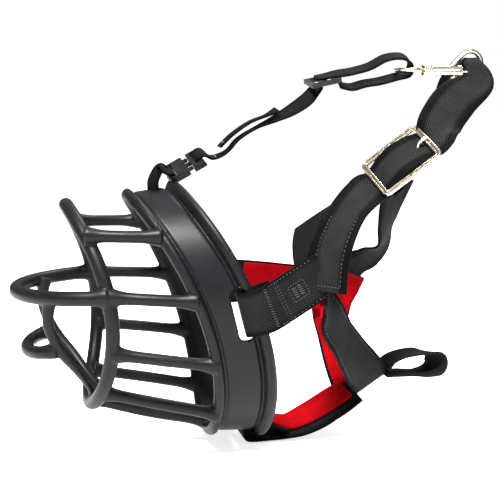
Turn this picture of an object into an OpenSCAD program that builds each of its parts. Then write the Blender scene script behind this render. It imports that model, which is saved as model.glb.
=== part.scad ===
// Basket muzzle for a large dog: moulded basket, webbing harness, buckle, clip, slider and snap hook.
// Millimetres. Origin at the centre of the snout opening, -Y towards the nose, +X the dog's left, +Z up.

/* [Basket] */
// Half height of the rim at its front bead
rim_half_height = 67.5; // [64:0.5:70]
// Half width of the rim at its front bead
rim_half_width = 56; // [52:0.5:58]
// Distance from the front bead to the rear lip
rim_depth = 31; // [30:0.5:32]
// Diameter of the basket's bars
bar_d = 6.4; // [5:0.2:7]
// Radius of the front hoop's section
hoop_r = 4; // [3.4:0.1:4.4]
// Length of a side slot
slot_length = 28; // [27:0.5:30]

/* [Webbing] */
// Width of the cheek, neck, throat and chin webbing
web_w = 25; // [22:0.5:26]
// Thickness of that webbing
web_t = 1.6; // [1.2:0.1:1.8]
// Width of the over-head webbing
head_w = 10; // [8:0.5:11]
// Thickness of the over-head webbing
head_t = 1.4; // [1:0.1:1.6]
// Thickness of the red lining
lining_t = 1.6; // [1:0.1:1.8]

/* [Buckle] */
// Distance between the centres of the buckle's end bars
buckle_length = 36; // [34:0.5:37]
// Distance between the centres of the buckle's side rails
buckle_width = 29.5; // [29:0.5:30]
// Diameter of the buckle's wire
buckle_wire = 2.6; // [2.2:0.1:2.8]
// Radius of the centre bar
heel_r = 1.1; // [1:0.05:1.2]

/* [Snap hook] */
// Radius of the barrel
barrel_r = 2.9; // [2.7:0.1:3.1]
// Radius of the sliding bolt
bolt_r = 1.25; // [1.1:0.05:1.3]
// Travel of the sliding bolt
bolt_travel = 6; // [4:0.5:6.5]

/* [Hidden] */
$fn = 32;

moulding = "#2b2b2d";
webbing = "#1a1a1c";
red_felt = "#c8101c";
nickel = "#d8d2c4";
acetal = "#202022";

// ---- vectors, smooth routes and lofts ----

function unit(v) = v / norm(v);

// One value on the smooth curve through four neighbours
function smooth(a, b, c, d, t) =
    0.5 * (2 * b + (c - a) * t + (2 * a - 5 * b + 4 * c - d) * t * t + (3 * b - a - 3 * c + d) * t * t * t);

// A finer list of rows through the rows given, steps to each span
function refine(rows, steps) =
    let (last = len(rows) - 1)
    [for (i = [0:last]) for (j = [0:(i < last ? steps - 1 : 0)])
        smooth(rows[max(i - 1, 0)], rows[i], rows[min(i + 1, last)], rows[min(i + 2, last)], j / steps)];

// Rows are [x, y, z, side x, side y, side z, width]
function place(row) = [row[0], row[1], row[2]];
function facing(row) = [row[3], row[4], row[5]];

// Rings of a strap's section: shift runs along the width, lift along the normal.
// Where the strap is gathered to less than its full width, it is as much thicker.
function strap_rings(rows, thickness, lift, shift, trim) =
    let (last = len(rows) - 1, widest = max([for (row = rows) row[6]]))
    [for (i = [0:last])
        let (
            along = unit(place(rows[min(i + 1, last)]) - place(rows[max(i - 1, 0)])),
            across = unit(facing(rows[i]) - (facing(rows[i]) * along) * along),
            normal = cross(across, along),
            middle = place(rows[i]) + across * shift + normal * lift,
            half = rows[i][6] / 2 - trim,
            deep = thickness / 2 * widest / rows[i][6]
        )
        [for (corner = [[-1, -1], [1, -1], [1, 1], [-1, 1]])
            middle + across * half * corner[0] + normal * deep * corner[1]]];

// Rings of a round bar along a list of points
function bar_rings(points, radius, sides, flat = [0, 0, 1]) =
    let (last = len(points) - 1)
    [for (i = [0:last])
        let (
            along = unit(points[min(i + 1, last)] - points[max(i - 1, 0)]),
            across = unit(cross(along, flat)),
            normal = cross(across, along)
        )
        [for (k = [0:sides - 1])
            points[i] + across * radius * cos(360 * k / sides) + normal * radius * sin(360 * k / sides)]];

// A closed solid through a list of rings, each with the same number of points
module loft(rings, closed = false) {
    n = len(rings);
    m = len(rings[0]);
    walls = [for (i = [0:(closed ? n : n - 1) - 1]) for (j = [0:m - 1]) for (upper = [false, true])
        let (a = i * m + j, b = i * m + (j + 1) % m, c = (i + 1) % n * m + (j + 1) % m, d = (i + 1) % n * m + j)
        upper ? [a, b, c] : [a, c, d]];
    ends = closed ? [] : [[for (j = [m - 1:-1:0]) j], [for (j = [0:m - 1]) (n - 1) * m + j]];
    polyhedron(points = [for (ring = rings) each ring], faces = concat(walls, ends));
}

module strap(rows, thickness = web_t, lift = 0, shift = 0, trim = 0, steps = 3) {
    loft(strap_rings(refine(rows, steps), thickness, lift, shift, trim));
}

module bar(points, radius = bar_d / 2, sides = 8, steps = 4, flat = [0, 0, 1]) {
    loft(bar_rings(refine(points, steps), radius, sides, flat));
}

// ---- basket ----

// The rim and the hoop bow backwards at the sides; this is that bow at height z
function bow(z) = -0.32 * z - 0.003 * z * z;
function hoop_y(z) = -68 - 0.02 * z - 0.0045 * z * z;
function sign_power(v, p) = sign(v) * pow(abs(v), p);

// A point of the rim's egg-shaped outline: axial from the bead, radial outwards
function rim_point(angle, axial, radial) =
    let (
        grow = 2.5 * axial / rim_depth,
        width = rim_half_width + grow,
        height = rim_half_height + grow,
        out = unit([sin(angle) * height, 0, cos(angle) * width]),
        x = width * (1 + 0.12 * cos(angle)) * sign_power(sin(angle), 0.86),
        z = 2 + 0.05 * axial + height * cos(angle)
    )
    [x, -17 + bow(z) + axial, z] + out * radial;

rim_section = [
    [-3.2, 0], [-2.6, 2.6], [0, 3.8], [2.6, 2.6], [3.6, 1.4], [rim_depth - 11, 1.4], [rim_depth - 7.5, 1],
    [rim_depth - 6, 3], [rim_depth - 3.5, 4.4], [rim_depth - 1, 4.4], [rim_depth + 0.6, 3],
    [rim_depth + 0.6, 1],
    [rim_depth - 2, -0.8], [rim_depth - 6, -1.8], [3, -1.8], [0, -2.6], [-2.6, -1.6]
];

module rounded_slot(length, width, depth) {
    hull() {
        for (end = [-1, 1]) {
            translate([0, 0, end * (length - width) / 2]) rotate([0, 90, 0])
                cylinder(d = width, h = depth, center = true);
        }
    }
}

module rim_band() {
    color(moulding) difference() {
        loft([for (i = [0:47]) [for (p = rim_section) rim_point(i * 7.5 + 0.1, p[0], p[1])]], closed = true);
        for (side = [-1, 1]) {
            translate([side * 60, 0.5, 9.5]) rotate([14, 0, 0]) rounded_slot(slot_length, 8, 20);
        }
        translate([0, -37.5, 71]) cube([14, 6, 20], center = true);
        translate([0, 12, -70]) cube([28, 7, 20], center = true);
    }
}

// A point of the front hoop's outline
function hoop_point(angle) =
    let (x = 51 * sign_power(sin(angle), 0.9), z = 9 + 56 * cos(angle))
    [x, hoop_y(z), z];

module front_hoop() {
    color(moulding) loft([for (i = [0:39])
        let (
            at = hoop_point(i * 9 + 0.1),
            along = unit(hoop_point(i * 9 + 1) - hoop_point(i * 9 - 1)),
            across = unit(cross(along, [0, 1, 0])),
            normal = cross(across, along)
        )
        [for (k = [0:9]) at + across * hoop_r * cos(36 * k) + normal * hoop_r * sin(36 * k)]], closed = true);
}

// The nose ring runs forward from the hoop in a long half oval, 20 mm above the origin
module nose_ring() {
    points = [for (i = [-9:9]) [51 * sin(i * 10), -71 - 46 * pow(cos(i * 10), 1.1), 20 - 2 * cos(i * 10)]];
    color(moulding) loft([for (i = [0:18])
        let (
            along = unit(points[min(i + 1, 18)] - points[max(i - 1, 0)]),
            across = unit(cross(along, [0, 0, 1]))
        )
        [for (p = [[-3, -4], [3, -4], [3.8, 0], [3, 4], [-3, 4], [-3.8, 0]])
            points[i] + across * p[0] + [0, 0, p[1]]]]);
}

module lower_front_ring() {
    color(moulding) bar([for (i = [-4:4])
        [29 * sin(i * 22.5), -97 - 14.5 * pow(cos(i * 22.5), 0.9), -11.5 - 3.5 * cos(i * 22.5)]],
        radius = 3.8, steps = 2);
}

front_bar_points = [
    [35, -100, 18], [33, -101, 5], [31, -98, -5], [28, -93, -14], [22, -85, -24], [14, -78, -34],
    [9, -75, -42]
];

module front_bar(side) {
    color(moulding) bar([for (p = front_bar_points) [side * p[0], p[1], p[2]]], steps = 3, flat = [0, 1, 1]);
}

// Each lengthwise bar: hoop end and rim end, at [half width, height]
bar_ends = [
    [[41, 52], [47, 51]], [[50.5, 20], [57, 17]], [[48, -11], [53, -19]], [[29, -36], [36, -50]]
];

module side_bars(side) {
    color(moulding) for (ends = bar_ends) {
        from = [side * ends[0][0], hoop_y(ends[0][1]), ends[0][1]];
        to = [side * ends[1][0], -17 + bow(ends[1][1]), ends[1][1]];
        middle = (from + to) / 2 + [side * 1.5, 0, 0];
        bar([from, middle, to], steps = 3);
    }
}

module lower_centre_bar() {
    color(moulding) bar([[0, hoop_y(-46), -46], [0, -45, -55.5], [0, -9, -63]], steps = 3);
}

// ---- buckle place: local x is the width, y the length towards the crown, z outwards ----

buckle_at = [42, 94, 90];
buckle_turn = [44, 29, 13];
function turned(v, r) =
    let (
        a = [v[0], v[1] * cos(r[0]) - v[2] * sin(r[0]), v[1] * sin(r[0]) + v[2] * cos(r[0])],
        b = [a[0] * cos(r[1]) + a[2] * sin(r[1]), a[1], a[2] * cos(r[1]) - a[0] * sin(r[1])]
    )
    [b[0] * cos(r[2]) - b[1] * sin(r[2]), b[0] * sin(r[2]) + b[1] * cos(r[2]), b[2]];
// A strap row at the buckle: y along it and z above it
function buckle_row(y, z, width) =
    let (at = buckle_at + turned([0, y, z], buckle_turn), across = turned([1, 0, 0], buckle_turn))
    [at[0], at[1], at[2], across[0], across[1], across[2], width];

heel_z = -1.4;
end_bar_y = buckle_length / 2;

// ---- cheek straps ----

cheek_left_rows = [
    [58.5, 45.5, 30.5, 0.1, -0.5, 0.86, web_w], [59, 33, 23, 0, -0.5, 0.86, web_w],
    [61.5, 22, 17, 0, -0.45, 0.88, web_w],
    [66.5, 12, 13, 0, -0.4, 0.9, web_w], [66, 5, 11, 0, -0.3, 0.95, web_w],
    [62, 1, 10, 0, -0.25, 0.97, web_w],
    [57, 0.5, 9.5, 0, -0.25, 0.97, web_w], [53.5, 3, 10, 0, -0.25, 0.97, web_w],
    [52.5, 10, 12, 0, -0.3, 0.95, web_w], [53.5, 20, 15.5, 0, -0.4, 0.9, web_w]
];
cheek_right_rows = [
    [-54, 70, 6, 0, 0.1, 1, web_w], [-55, 54, 8, 0, 0.05, 1, web_w], [-58, 36, 10, 0, 0, 1, web_w],
    [-64, 20, 11, 0, -0.1, 1, web_w], [-66.5, 12, 11, 0, -0.2, 0.98, web_w],
    [-66, 5, 10, 0, -0.25, 0.97, web_w], [-62, 1, 9.5, 0, -0.25, 0.97, web_w],
    [-57, 0.5, 9.5, 0, -0.25, 0.97, web_w], [-53.5, 3, 10, 0, -0.25, 0.97, web_w],
    [-52.5, 10, 10, 0, -0.2, 0.98, web_w], [-53.5, 20, 10, 0, -0.1, 1, web_w]
];

module cheek_strap_left() {
    color(webbing) strap(cheek_left_rows, steps = 2);
}
module cheek_strap_right() {
    color(webbing) strap(cheek_right_rows, steps = 2);
}

cheek_left_lining_rows = [
    [56.2, 44, 29.5, 0.1, -0.5, 0.86, web_w], [56.7, 33, 23, 0.05, -0.5, 0.86, web_w],
    [58, 25, 18.8, 0.1, -0.45, 0.88, web_w]
];
cheek_right_lining_rows = [
    [-51.8, 70, 6, 0, 0.1, 1, web_w], [-52.8, 54, 8, 0, 0.05, 1, web_w], [-55.4, 36, 10, 0, 0, 1, web_w],
    [-57.6, 25, 10.5, 0, -0.05, 1, web_w]
];

module cheek_lining_left() {
    color(red_felt) strap(cheek_left_lining_rows, lining_t, trim = 1, steps = 2);
}
module cheek_lining_right() {
    color(red_felt) strap(cheek_right_lining_rows, lining_t, trim = 1, steps = 2);
}

// ---- neck straps and pads ----

// From the cheek junction up to the buckle; the side vector points down, back and outwards
neck_left_rows = [
    [59, 46, 21, 0.76, 0.65, 0, web_w], [58.5, 46.5, 35.5, 0.74, 0.66, -0.05, web_w],
    [57, 50.5, 48, 0.76, 0.64, 0, web_w], [49, 58.5, 60, 0.76, 0.64, 0, web_w]
];
neck_left_top_rows = [
    [37.5, 74.3, 72, 0.68, 0.68, -0.28, web_w], buckle_row(-15, -4.8, web_w), buckle_row(-7, -2.2, web_w),
    buckle_row(-2, heel_z + 1.9, web_w), buckle_row(1, heel_z + 2.3, web_w), buckle_row(2.9, heel_z, web_w),
    buckle_row(1, heel_z - 2.4, web_w), buckle_row(-4, heel_z - 3.1, web_w),
    buckle_row(-9, -6, web_w), buckle_row(-15, -6.8, web_w)
];

module neck_strap_left() {
    color(webbing) difference() {
        strap(concat(neck_left_rows, neck_left_top_rows), steps = 2);
        translate(buckle_at) rotate(buckle_turn) translate([0, 1.5, heel_z]) cube([5, 9, 9], center = true);
    }
}

// The long strap: tail over the left strap, through the buckle, over the crown and down the right side
tail_rows = [
    [63, 46, 21, 0.76, 0.65, 0, web_w], [62.5, 47, 36, 0.74, 0.66, -0.05, web_w],
    [60.5, 51, 49, 0.76, 0.64, 0, web_w], [53, 60, 62, 0.76, 0.64, 0, web_w],
    [41, 75, 74, 0.68, 0.68, -0.28, web_w], buckle_row(-end_bar_y, -2.5, web_w), buckle_row(-9, 0.6, web_w),
    buckle_row(0, 2.3, web_w), buckle_row(9, 0.6, web_w), buckle_row(end_bar_y, -2.5, web_w),
    [44, 113, 102, 0.85, 0.2, -0.48, web_w]
];
crown_rows = [
    [38, 118.5, 112, 0.5, 0.55, -0.66, web_w], [25, 132.5, 124, 0.25, 0.85, -0.5, web_w],
    [12, 151, 134.5, 0.25, 0.93, -0.25, 19], [5, 150.5, 144.6, 0, 1, 0, 9], [-5, 150.5, 144.6, 0, 1, 0, 9],
    [-9, 148, 136.5, 0, 1, -0.04, 24], [-16, 146, 124, -0.1, 0.97, -0.1, web_w],
    [-21, 138, 102, -0.5, 0.8, 0.3, web_w]
];
far_rows = [
    [-25, 123.5, 85, -0.51, 0.85, 0.11, web_w], [-30, 115, 65, -0.54, 0.83, 0.1, web_w],
    [-36, 112.5, 48, -0.75, 0.65, 0, web_w], [-42, 111.5, 34, -0.86, 0.4, -0.3, web_w],
    [-48, 104, 25, -0.67, 0.46, -0.58, web_w], [-53, 95, 18, -0.5, 0.5, -0.5, web_w],
    [-56, 81, 0, 0.1, 0.95, 0.2, web_w],
    [-56, 78, -8, 0.1, 0.95, 0.2, web_w]
];

module neck_strap_right() {
    color(webbing) difference() {
        strap(concat(tail_rows, crown_rows, far_rows), steps = 2);
        translate(buckle_at) rotate(buckle_turn) translate([0, 10.5, 0]) cube([3.4, 13, 9], center = true);
    }
}

neck_pad_left_rows = [
    [61, 50, 20.5, 0.76, 0.65, 0, 30], [59.7, 50.3, 35.5, 0.74, 0.66, -0.05, 30],
    [52.5, 50.5, 48, 0.76, 0.64, 0, 30],
    [46, 53, 57, 0.76, 0.64, 0, 28]
];

module neck_pad_left() {
    color(webbing) strap(neck_pad_left_rows, 2, shift = -9, steps = 2);
}
module neck_lining_left() {
    color(red_felt) strap(neck_pad_left_rows, lining_t, lift = -2, shift = -9, trim = 1, steps = 2);
}

neck_pad_right_rows = [
    [-51.5, 79, -10, 0.1, 0.95, 0.2, 27], [-51.5, 82, 0, 0.1, 0.95, 0.2, 27],
    [-50, 88, 9, 0.05, 0.95, 0.3, 27],
    [-47.5, 92, 15, 0, 0.95, 0.4, 27]
];

module neck_pad_right() {
    color(webbing) strap(neck_pad_right_rows, 2, steps = 2);
}
module neck_lining_right() {
    color(red_felt) strap(neck_pad_right_rows, lining_t, lift = 2, trim = 1, steps = 2);
}

// ---- throat and chin ----

throat_left_rows = [
    [57, 47, 14, -0.9, 0.4, 0.1, web_w], [52, 52, 4, -0.7, 0.65, 0.15, web_w],
    [42, 61, -9, -0.75, 0.62, 0.2, web_w], [27, 72.5, -23.5, -0.55, 0.72, 0.43, web_w],
    [10, 86, -38.5, -0.1, 0.85, 0.5, web_w],
    [2, 91, -44.5, 0, 0.85, 0.5, web_w]
];
throat_right_rows = [
    [-54, 76, 0, 0.9, 0.4, 0.1, web_w], [-51, 79, -11, 0.7, 0.65, 0.15, web_w],
    [-44, 82, -24, 0.6, 0.75, 0.25, web_w], [-28, 82, -36.5, 0.4, 0.8, 0.4, web_w],
    [-10, 82, -46.5, 0.15, 0.85, 0.5, web_w]
];

module throat_strap_left() {
    color(webbing) strap(throat_left_rows);
}
module throat_strap_right() {
    color(webbing) strap(throat_right_rows);
}
module throat_lining_left() {
    color(red_felt) strap(throat_left_rows, lining_t, lift = 2.2, trim = 1);
}
module throat_lining_right() {
    color(red_felt) strap(throat_right_rows, lining_t, lift = -2, trim = 2.4);
}

chin_rows = [
    [0, 38, -69.4, 1, 0, 0, web_w], [0, 31, -67, 1, 0, 0, web_w], [0, 23, -63, 1, 0, 0, web_w],
    [0, 15, -62, 1, 0, 0, web_w], [0, 11.6, -65, 1, 0, 0, web_w], [0, 11.3, -70, 1, 0, 0, web_w],
    [0, 13, -73, 1, 0, 0, web_w], [0, 18, -73.6, 1, 0, 0, web_w], [0, 27, -73.4, 1, 0, 0, web_w],
    [0, 37, -71.8, 1, 0, -0.1, web_w],
    [0, 47, -68.4, 0.95, 0, -0.3, web_w], [0, 59, -63, 0.92, 0, -0.4, web_w],
    [0, 71, -56, 0.92, 0, -0.4, web_w],
    [0, 81, -50, 0.95, 0, -0.3, web_w]
];
chin_lining_rows = [
    [0, 24, -61.2, 1, 0, 0, web_w], [0, 31.8, -65.2, 1, 0, -0.1, web_w],
    [0, 40, -67.6, 0.98, 0, -0.2, web_w], [0, 46.5, -66, 0.95, 0, -0.3, web_w],
    [0, 58, -60.7, 0.92, 0, -0.4, web_w], [0, 69.5, -54, 0.92, 0, -0.4, web_w],
    [0, 77, -49.5, 0.95, 0, -0.3, web_w]
];

module chin_strap() {
    color(webbing) strap(chin_rows, steps = 2);
}
module chin_lining() {
    color(red_felt) strap(chin_lining_rows, lining_t, shift = -2.7, trim = 3);
}

loop_rows = [
    [0, 99, -36, 1, 0.15, 0, 18], [0, 103, -31.5, 1, 0.15, 0, 18], [0, 111, -28.5, 1, 0.15, 0, 18],
    [0, 122, -27.5, 0.86, 0.5, 0, 18], [0, 130, -29.5, 0.84, 0.55, 0, 18],
    [0, 132.5, -34, 0.84, 0.55, 0, 18],
    [0, 130, -38.5, 0.84, 0.55, 0, 18], [0, 122, -40.5, 0.86, 0.5, 0, 18],
    [0, 111, -40, 1, 0.15, 0, 18], [0, 99, -40, 1, 0.15, 0, 18]
];

module collar_loop() {
    color(webbing) strap(loop_rows, steps = 2);
}

// ---- buckle ----

module buckle_frame() {
    r = buckle_wire / 2;
    half = buckle_width / 2;
    color(nickel) translate(buckle_at) rotate(buckle_turn) {
        for (end = [-1, 1]) {
            translate([0, end * end_bar_y, 0.4]) rotate([0, 90, 0]) cylinder(r = r, h = buckle_width, center = true);
            translate([end * half, 0, 0.4]) rotate([90, 0, 0]) cylinder(r = r, h = buckle_length, center = true);
            for (side = [-1, 1]) translate([side * half, end * end_bar_y, 0.4]) sphere(r = r);
            translate([end * (half + 0.6), 0, -0.2]) rotate([0, 90, 0]) cylinder(r = 2.6, h = 1.8, center = true);
        }
        translate([0, 0, heel_z]) rotate([0, 90, 0]) cylinder(r = heel_r, h = buckle_width, center = true);
    }
}

prong_points = [[0, 1.8, heel_z], [0, 8, heel_z + 0.1], [0, 11.5, heel_z + 1.4], [0, 14.5, 3],
    [0, 18.8, 2.9]];

module buckle_prong() {
    color(nickel) translate(buckle_at) rotate(buckle_turn) {
        difference() {
            union() {
                translate([0, 0, heel_z]) rotate([0, 90, 0]) cylinder(r = 2.1, h = 2.8, center = true);
                bar(prong_points, radius = 0.9, steps = 3, flat = [1, 0, 0]);
            }
            translate([0, 0, heel_z]) rotate([0, 90, 0]) cylinder(r = heel_r + 0.05, h = 6, center = true);
        }
    }
}

// ---- over-head strap ----

clip_at = [1, -21.5, 85.8];
clip_turn = [32, 25, 15];
function clip_row(y, z, width) =
    let (at = clip_at + turned([0, y, z], clip_turn), across = turned([1, 0, 0], clip_turn))
    [at[0], at[1], at[2], across[0], across[1], across[2], width];

anchor_rows = [
    clip_row(-11, -4, head_w), clip_row(-9.5, -3.7, head_w), clip_row(-7.5, -2, head_w), clip_row(-7.5, 1.6, head_w),
    clip_row(-10, 3.8, head_w), [0, -35, 85.5, 0.9, 0.4, -0.1, head_w],
    [0, -37.5, 82, 0.88, 0.48, 0, head_w],
    [0, -39.3, 77, 0.88, 0.48, 0, head_w], [0, -38.8, 71, 0.88, 0.48, 0, head_w],
    [0, -37.5, 66.5, 1, 0, 0, head_w],
    [0, -35, 66.5, 1, 0, 0, head_w]
];

module anchor_loop() {
    color(webbing) strap(anchor_rows, head_t, steps = 2);
}

// The clip: female housing towards the basket, male body with two spring arms towards the crown
clip_w = 14;
clip_t = 4.4;

module clip_housing() {
    color(acetal) translate(clip_at) rotate(clip_turn) difference() {
        union() {
            translate([-clip_w / 2, -9, -clip_t / 2]) cube([clip_w, 10, clip_t]);
            translate([0, -9, 0]) rotate([0, 90, 0]) cylinder(d = clip_t, h = clip_w, center = true);
        }
        translate([-5.8, -8.8, -4]) cube([11.6, 2.6, 8]);
        translate([-6.2, -5, -1.3]) cube([12.4, 8, 2.6]);
    }
}

module clip_body() {
    color(acetal) translate(clip_at) rotate(clip_turn) difference() {
        union() {
            translate([-clip_w / 2, 4, -clip_t / 2]) cube([clip_w, 7, clip_t]);
            translate([-1, -4.5, -0.9]) cube([2, 9, 1.8]);
        }
        translate([-5.8, 6.2, -4]) cube([11.6, 2.2, 8]);
    }
}

module clip_arm(side) {
    color(acetal) translate(clip_at) rotate(clip_turn) {
        translate([side * 4.6 - 0.8, -4, -0.9]) cube([1.6, 6.9, 1.8]);
        translate([side * 4.6, 2.9, 0]) cylinder(r = 0.9, h = 1.8, center = true);
    }
}

head_rows = [
    clip_row(12, -3, head_w), clip_row(9, -3.2, head_w), clip_row(7.3, -1.6, head_w), clip_row(7.3, 1.6, head_w),
    clip_row(9.4, 3.2, head_w), clip_row(13, 2.4, head_w), [0, -6, 91, 0.95, 0.1, -0.15, head_w],
    [0, -1, 92, 1, 0, -0.1, head_w],
    [0, 4, 95, 1, 0, 0, head_w], [0, 10, 101.5, 1, 0, 0, head_w], [0, 20, 107.5, 1, 0, 0, head_w],
    [0, 30, 112, 0.95, 0.1, -0.2, head_w], [0, 41, 117.5, 0.8, 0.2, -0.5, head_w],
    [0, 50, 123.5, 0.7, 0.3, -0.6, head_w], [0, 55, 129, 0.8, 0.25, -0.5, head_w]
];

module head_strap() {
    color(webbing) strap(head_rows, head_t, steps = 2);
}

tail_over_rows = [
    [0, -1, 97, 1, 0, 0, head_w], [0, 7, 104.5, 1, 0, 0, head_w], [0, 17, 111, 1, 0, 0, head_w],
    [0, 26, 114.5, 1, 0, 0, head_w], [0, 33, 118, 0.97, 0.1, -0.2, head_w]
];

module head_strap_tail() {
    color(webbing) strap(tail_over_rows, head_t, steps = 2);
}

slider_at = [0, 60, 134.5];
slider_turn = [12, 12, 6];

module strap_slider() {
    color(acetal) translate(slider_at) rotate(slider_turn) difference() {
        translate([-7.5, -9, -1.3]) cube([15, 18, 2.6]);
        for (y = [-6.6, 1.2]) translate([-5.6, y, -3]) cube([11.2, 5.4, 6]);
    }
}

end_loop_rows = [
    [0, 56, 136.2, 0.95, 0.1, -0.2, head_w], [0, 62, 137.3, 0.95, 0.1, -0.25, head_w],
    [0, 70, 138.8, 0.92, 0, -0.4, head_w], [0, 78, 140.2, 0.92, 0, -0.4, head_w],
    [0, 88, 143, 0.92, 0, -0.4, head_w],
    [0, 98, 148, 0.92, 0, -0.4, head_w], [0, 107, 149, 0.92, 0, -0.4, head_w],
    [0, 112, 146.5, 0.92, 0, -0.4, head_w],
    [0, 113, 142.5, 0.92, 0, -0.4, head_w], [0, 111, 138.8, 0.92, 0, -0.4, head_w],
    [0, 104, 137, 0.92, 0, -0.4, head_w],
    [0, 94, 134.5, 0.92, 0, -0.4, head_w], [0, 85, 133, 0.92, 0, -0.4, head_w],
    [0, 77, 131, 0.92, 0, -0.4, head_w],
    [0, 70, 132.3, 0.92, 0, -0.4, head_w]
];

module end_loop() {
    color(webbing) strap(end_loop_rows, head_t, steps = 2);
}

// ---- snap hook, its axis along Y ----

snap_z = 141;
eye_y = 112;
barrel_from = 123;
barrel_to = 145;
bow_y = 150.5;
bow_rise = 4.5;
bow_r = 6.8;
bow_wire_r = 1.5;
spring_from = 129.3;

// Children drawn along the hook's own axis, from the distance y
module along_snap(y) {
    translate([0, y, snap_z]) rotate([-90, 0, 0]) children();
}

module snap_eye() {
    color(nickel) translate([0, 0, snap_z]) {
        translate([0, eye_y, 0]) rotate_extrude() translate([7.2, 0]) circle(r = 1.1);
        translate([0, eye_y + 7.6, 0]) rotate([-90, 0, 0]) cylinder(r = 1.3, h = 6);
        translate([0, 125.2, 0]) rotate([-90, 0, 0]) cylinder(r = 2, h = 1.6);
    }
}

// The bow rises from the barrel at 45 degrees, turns over and comes down as the hook's tip
module bow_wire() {
    translate([0, bow_y, snap_z + bow_rise]) rotate([0, -90, 0]) rotate([0, 0, -45]) {
        rotate_extrude(angle = 135) translate([bow_r, 0]) circle(r = bow_wire_r);
        translate([bow_r, 0, 0]) rotate([90, 0, 0]) cylinder(r = bow_wire_r, h = 10.6);
        rotate([0, 0, 135]) translate([bow_r, 0, 0]) rotate([-90, 0, 0]) cylinder(r = bow_wire_r, h = bow_rise + 1);
    }
}

module snap_body() {
    color(nickel) difference() {
        union() {
            bow_wire();
            along_snap(barrel_from) cylinder(r = barrel_r, h = barrel_to - barrel_from);
            along_snap(121) cylinder(r = 3.2, h = 3);
        }
        along_snap(120) cylinder(r = 1.35, h = 6);
        along_snap(124.8) cylinder(r = 2.1, h = 2.4);
        along_snap(spring_from - 0.6) cylinder(r = 1.9, h = 15);
        along_snap(140) cylinder(r = bolt_r + 0.05, h = 10);
        translate([-0.8, 139.6 - bolt_travel, snap_z - 5]) cube([1.6, 2.6 + bolt_travel, 5]);
    }
}

module snap_bolt() {
    color(nickel) {
        along_snap(139) cylinder(r = bolt_r, h = 16.5);
        along_snap(139) cylinder(r = 1.75, h = 3);
        translate([0, 140.6, snap_z - 3.6]) cylinder(r = 0.6, h = 3);
        translate([0, 140.6, snap_z - 5.4]) cylinder(r = 2.4, h = 2);
    }
}

module snap_spring() {
    turns = 7;
    color(nickel) bar([for (i = [0:turns * 12]) [
        1.35 * sin(i * 30), spring_from + i * 9.2 / (turns * 12), snap_z + 1.35 * cos(i * 30)]],
        radius = 0.25, sides = 6, steps = 1, flat = [0, 1, 0]);
}

// ---- drawing ----

rim_band();
front_hoop();
nose_ring();
lower_front_ring();
front_bar(1);  // front_bar_left
front_bar(-1);  // front_bar_right
side_bars(1);  // side_bars_left
side_bars(-1);  // side_bars_right
lower_centre_bar();
cheek_strap_left();
cheek_strap_right();
cheek_lining_left();
cheek_lining_right();
neck_strap_left();
neck_strap_right();
neck_pad_left();
neck_pad_right();
neck_lining_left();
neck_lining_right();
throat_strap_left();
throat_strap_right();
throat_lining_left();
throat_lining_right();
chin_strap();
chin_lining();
collar_loop();
buckle_frame();
buckle_prong();
anchor_loop();
clip_housing();
clip_body();
clip_arm(1);  // clip_arm_left
clip_arm(-1);  // clip_arm_right
head_strap();
head_strap_tail();
strap_slider();
end_loop();
snap_eye();
snap_body();
snap_bolt();
snap_spring();
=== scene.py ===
"""Basket muzzle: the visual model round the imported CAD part. Metres, row frame."""

import math

import bmesh
import bpy
import numpy as np
from mathutils import Matrix, Vector, noise


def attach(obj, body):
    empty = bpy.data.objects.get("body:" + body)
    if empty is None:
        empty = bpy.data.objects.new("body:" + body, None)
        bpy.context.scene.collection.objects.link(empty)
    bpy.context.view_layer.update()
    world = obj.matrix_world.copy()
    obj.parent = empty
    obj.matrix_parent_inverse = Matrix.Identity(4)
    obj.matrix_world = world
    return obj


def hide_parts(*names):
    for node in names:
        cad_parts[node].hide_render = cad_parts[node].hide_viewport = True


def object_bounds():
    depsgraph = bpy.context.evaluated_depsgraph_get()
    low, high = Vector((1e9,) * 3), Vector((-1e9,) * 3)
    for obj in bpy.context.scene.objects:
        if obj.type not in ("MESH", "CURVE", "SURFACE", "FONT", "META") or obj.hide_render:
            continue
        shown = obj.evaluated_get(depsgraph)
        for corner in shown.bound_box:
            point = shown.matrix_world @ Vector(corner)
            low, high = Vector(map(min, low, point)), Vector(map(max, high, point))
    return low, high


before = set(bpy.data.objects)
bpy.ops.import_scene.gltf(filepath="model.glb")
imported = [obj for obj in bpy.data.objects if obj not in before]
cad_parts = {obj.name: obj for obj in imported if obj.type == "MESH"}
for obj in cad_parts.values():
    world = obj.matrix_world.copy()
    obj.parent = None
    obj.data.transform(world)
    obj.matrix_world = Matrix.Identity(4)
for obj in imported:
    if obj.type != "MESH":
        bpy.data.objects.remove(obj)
CAD_LOW, CAD_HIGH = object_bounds()
MM = 0.001

# ---- camera, floor and light ----

CAMERA_TARGET = Vector((0, 17, 37)) * MM
CAMERA_DISTANCE = 0.7
CAMERA_AZIMUTH = math.radians(78)
CAMERA_ELEVATION = math.radians(7)
CAMERA_LENS = 86.7
FLOOR_GAP = 0.001
FLOOR_RADIUS = 12
FLOOR_GLOW = 0.75
SKY_STRENGTH = 0.42


def fill_ramp(node, stops):
    """Sets a colour ramp node to (place, colour) stops."""
    points = node.color_ramp.elements
    while len(points) < len(stops):
        points.new(0.5)
    for point, (at, colour) in zip(points, stops):
        point.position = at
        point.color = (*colour, 1)
    return node.outputs["Color"]


def direction(azimuth, elevation):
    """From the object towards a camera or a light; azimuth 0 looks along +Y."""
    flat = math.cos(elevation)
    return Vector((math.sin(azimuth) * flat, -math.cos(azimuth) * flat, math.sin(elevation)))


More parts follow.
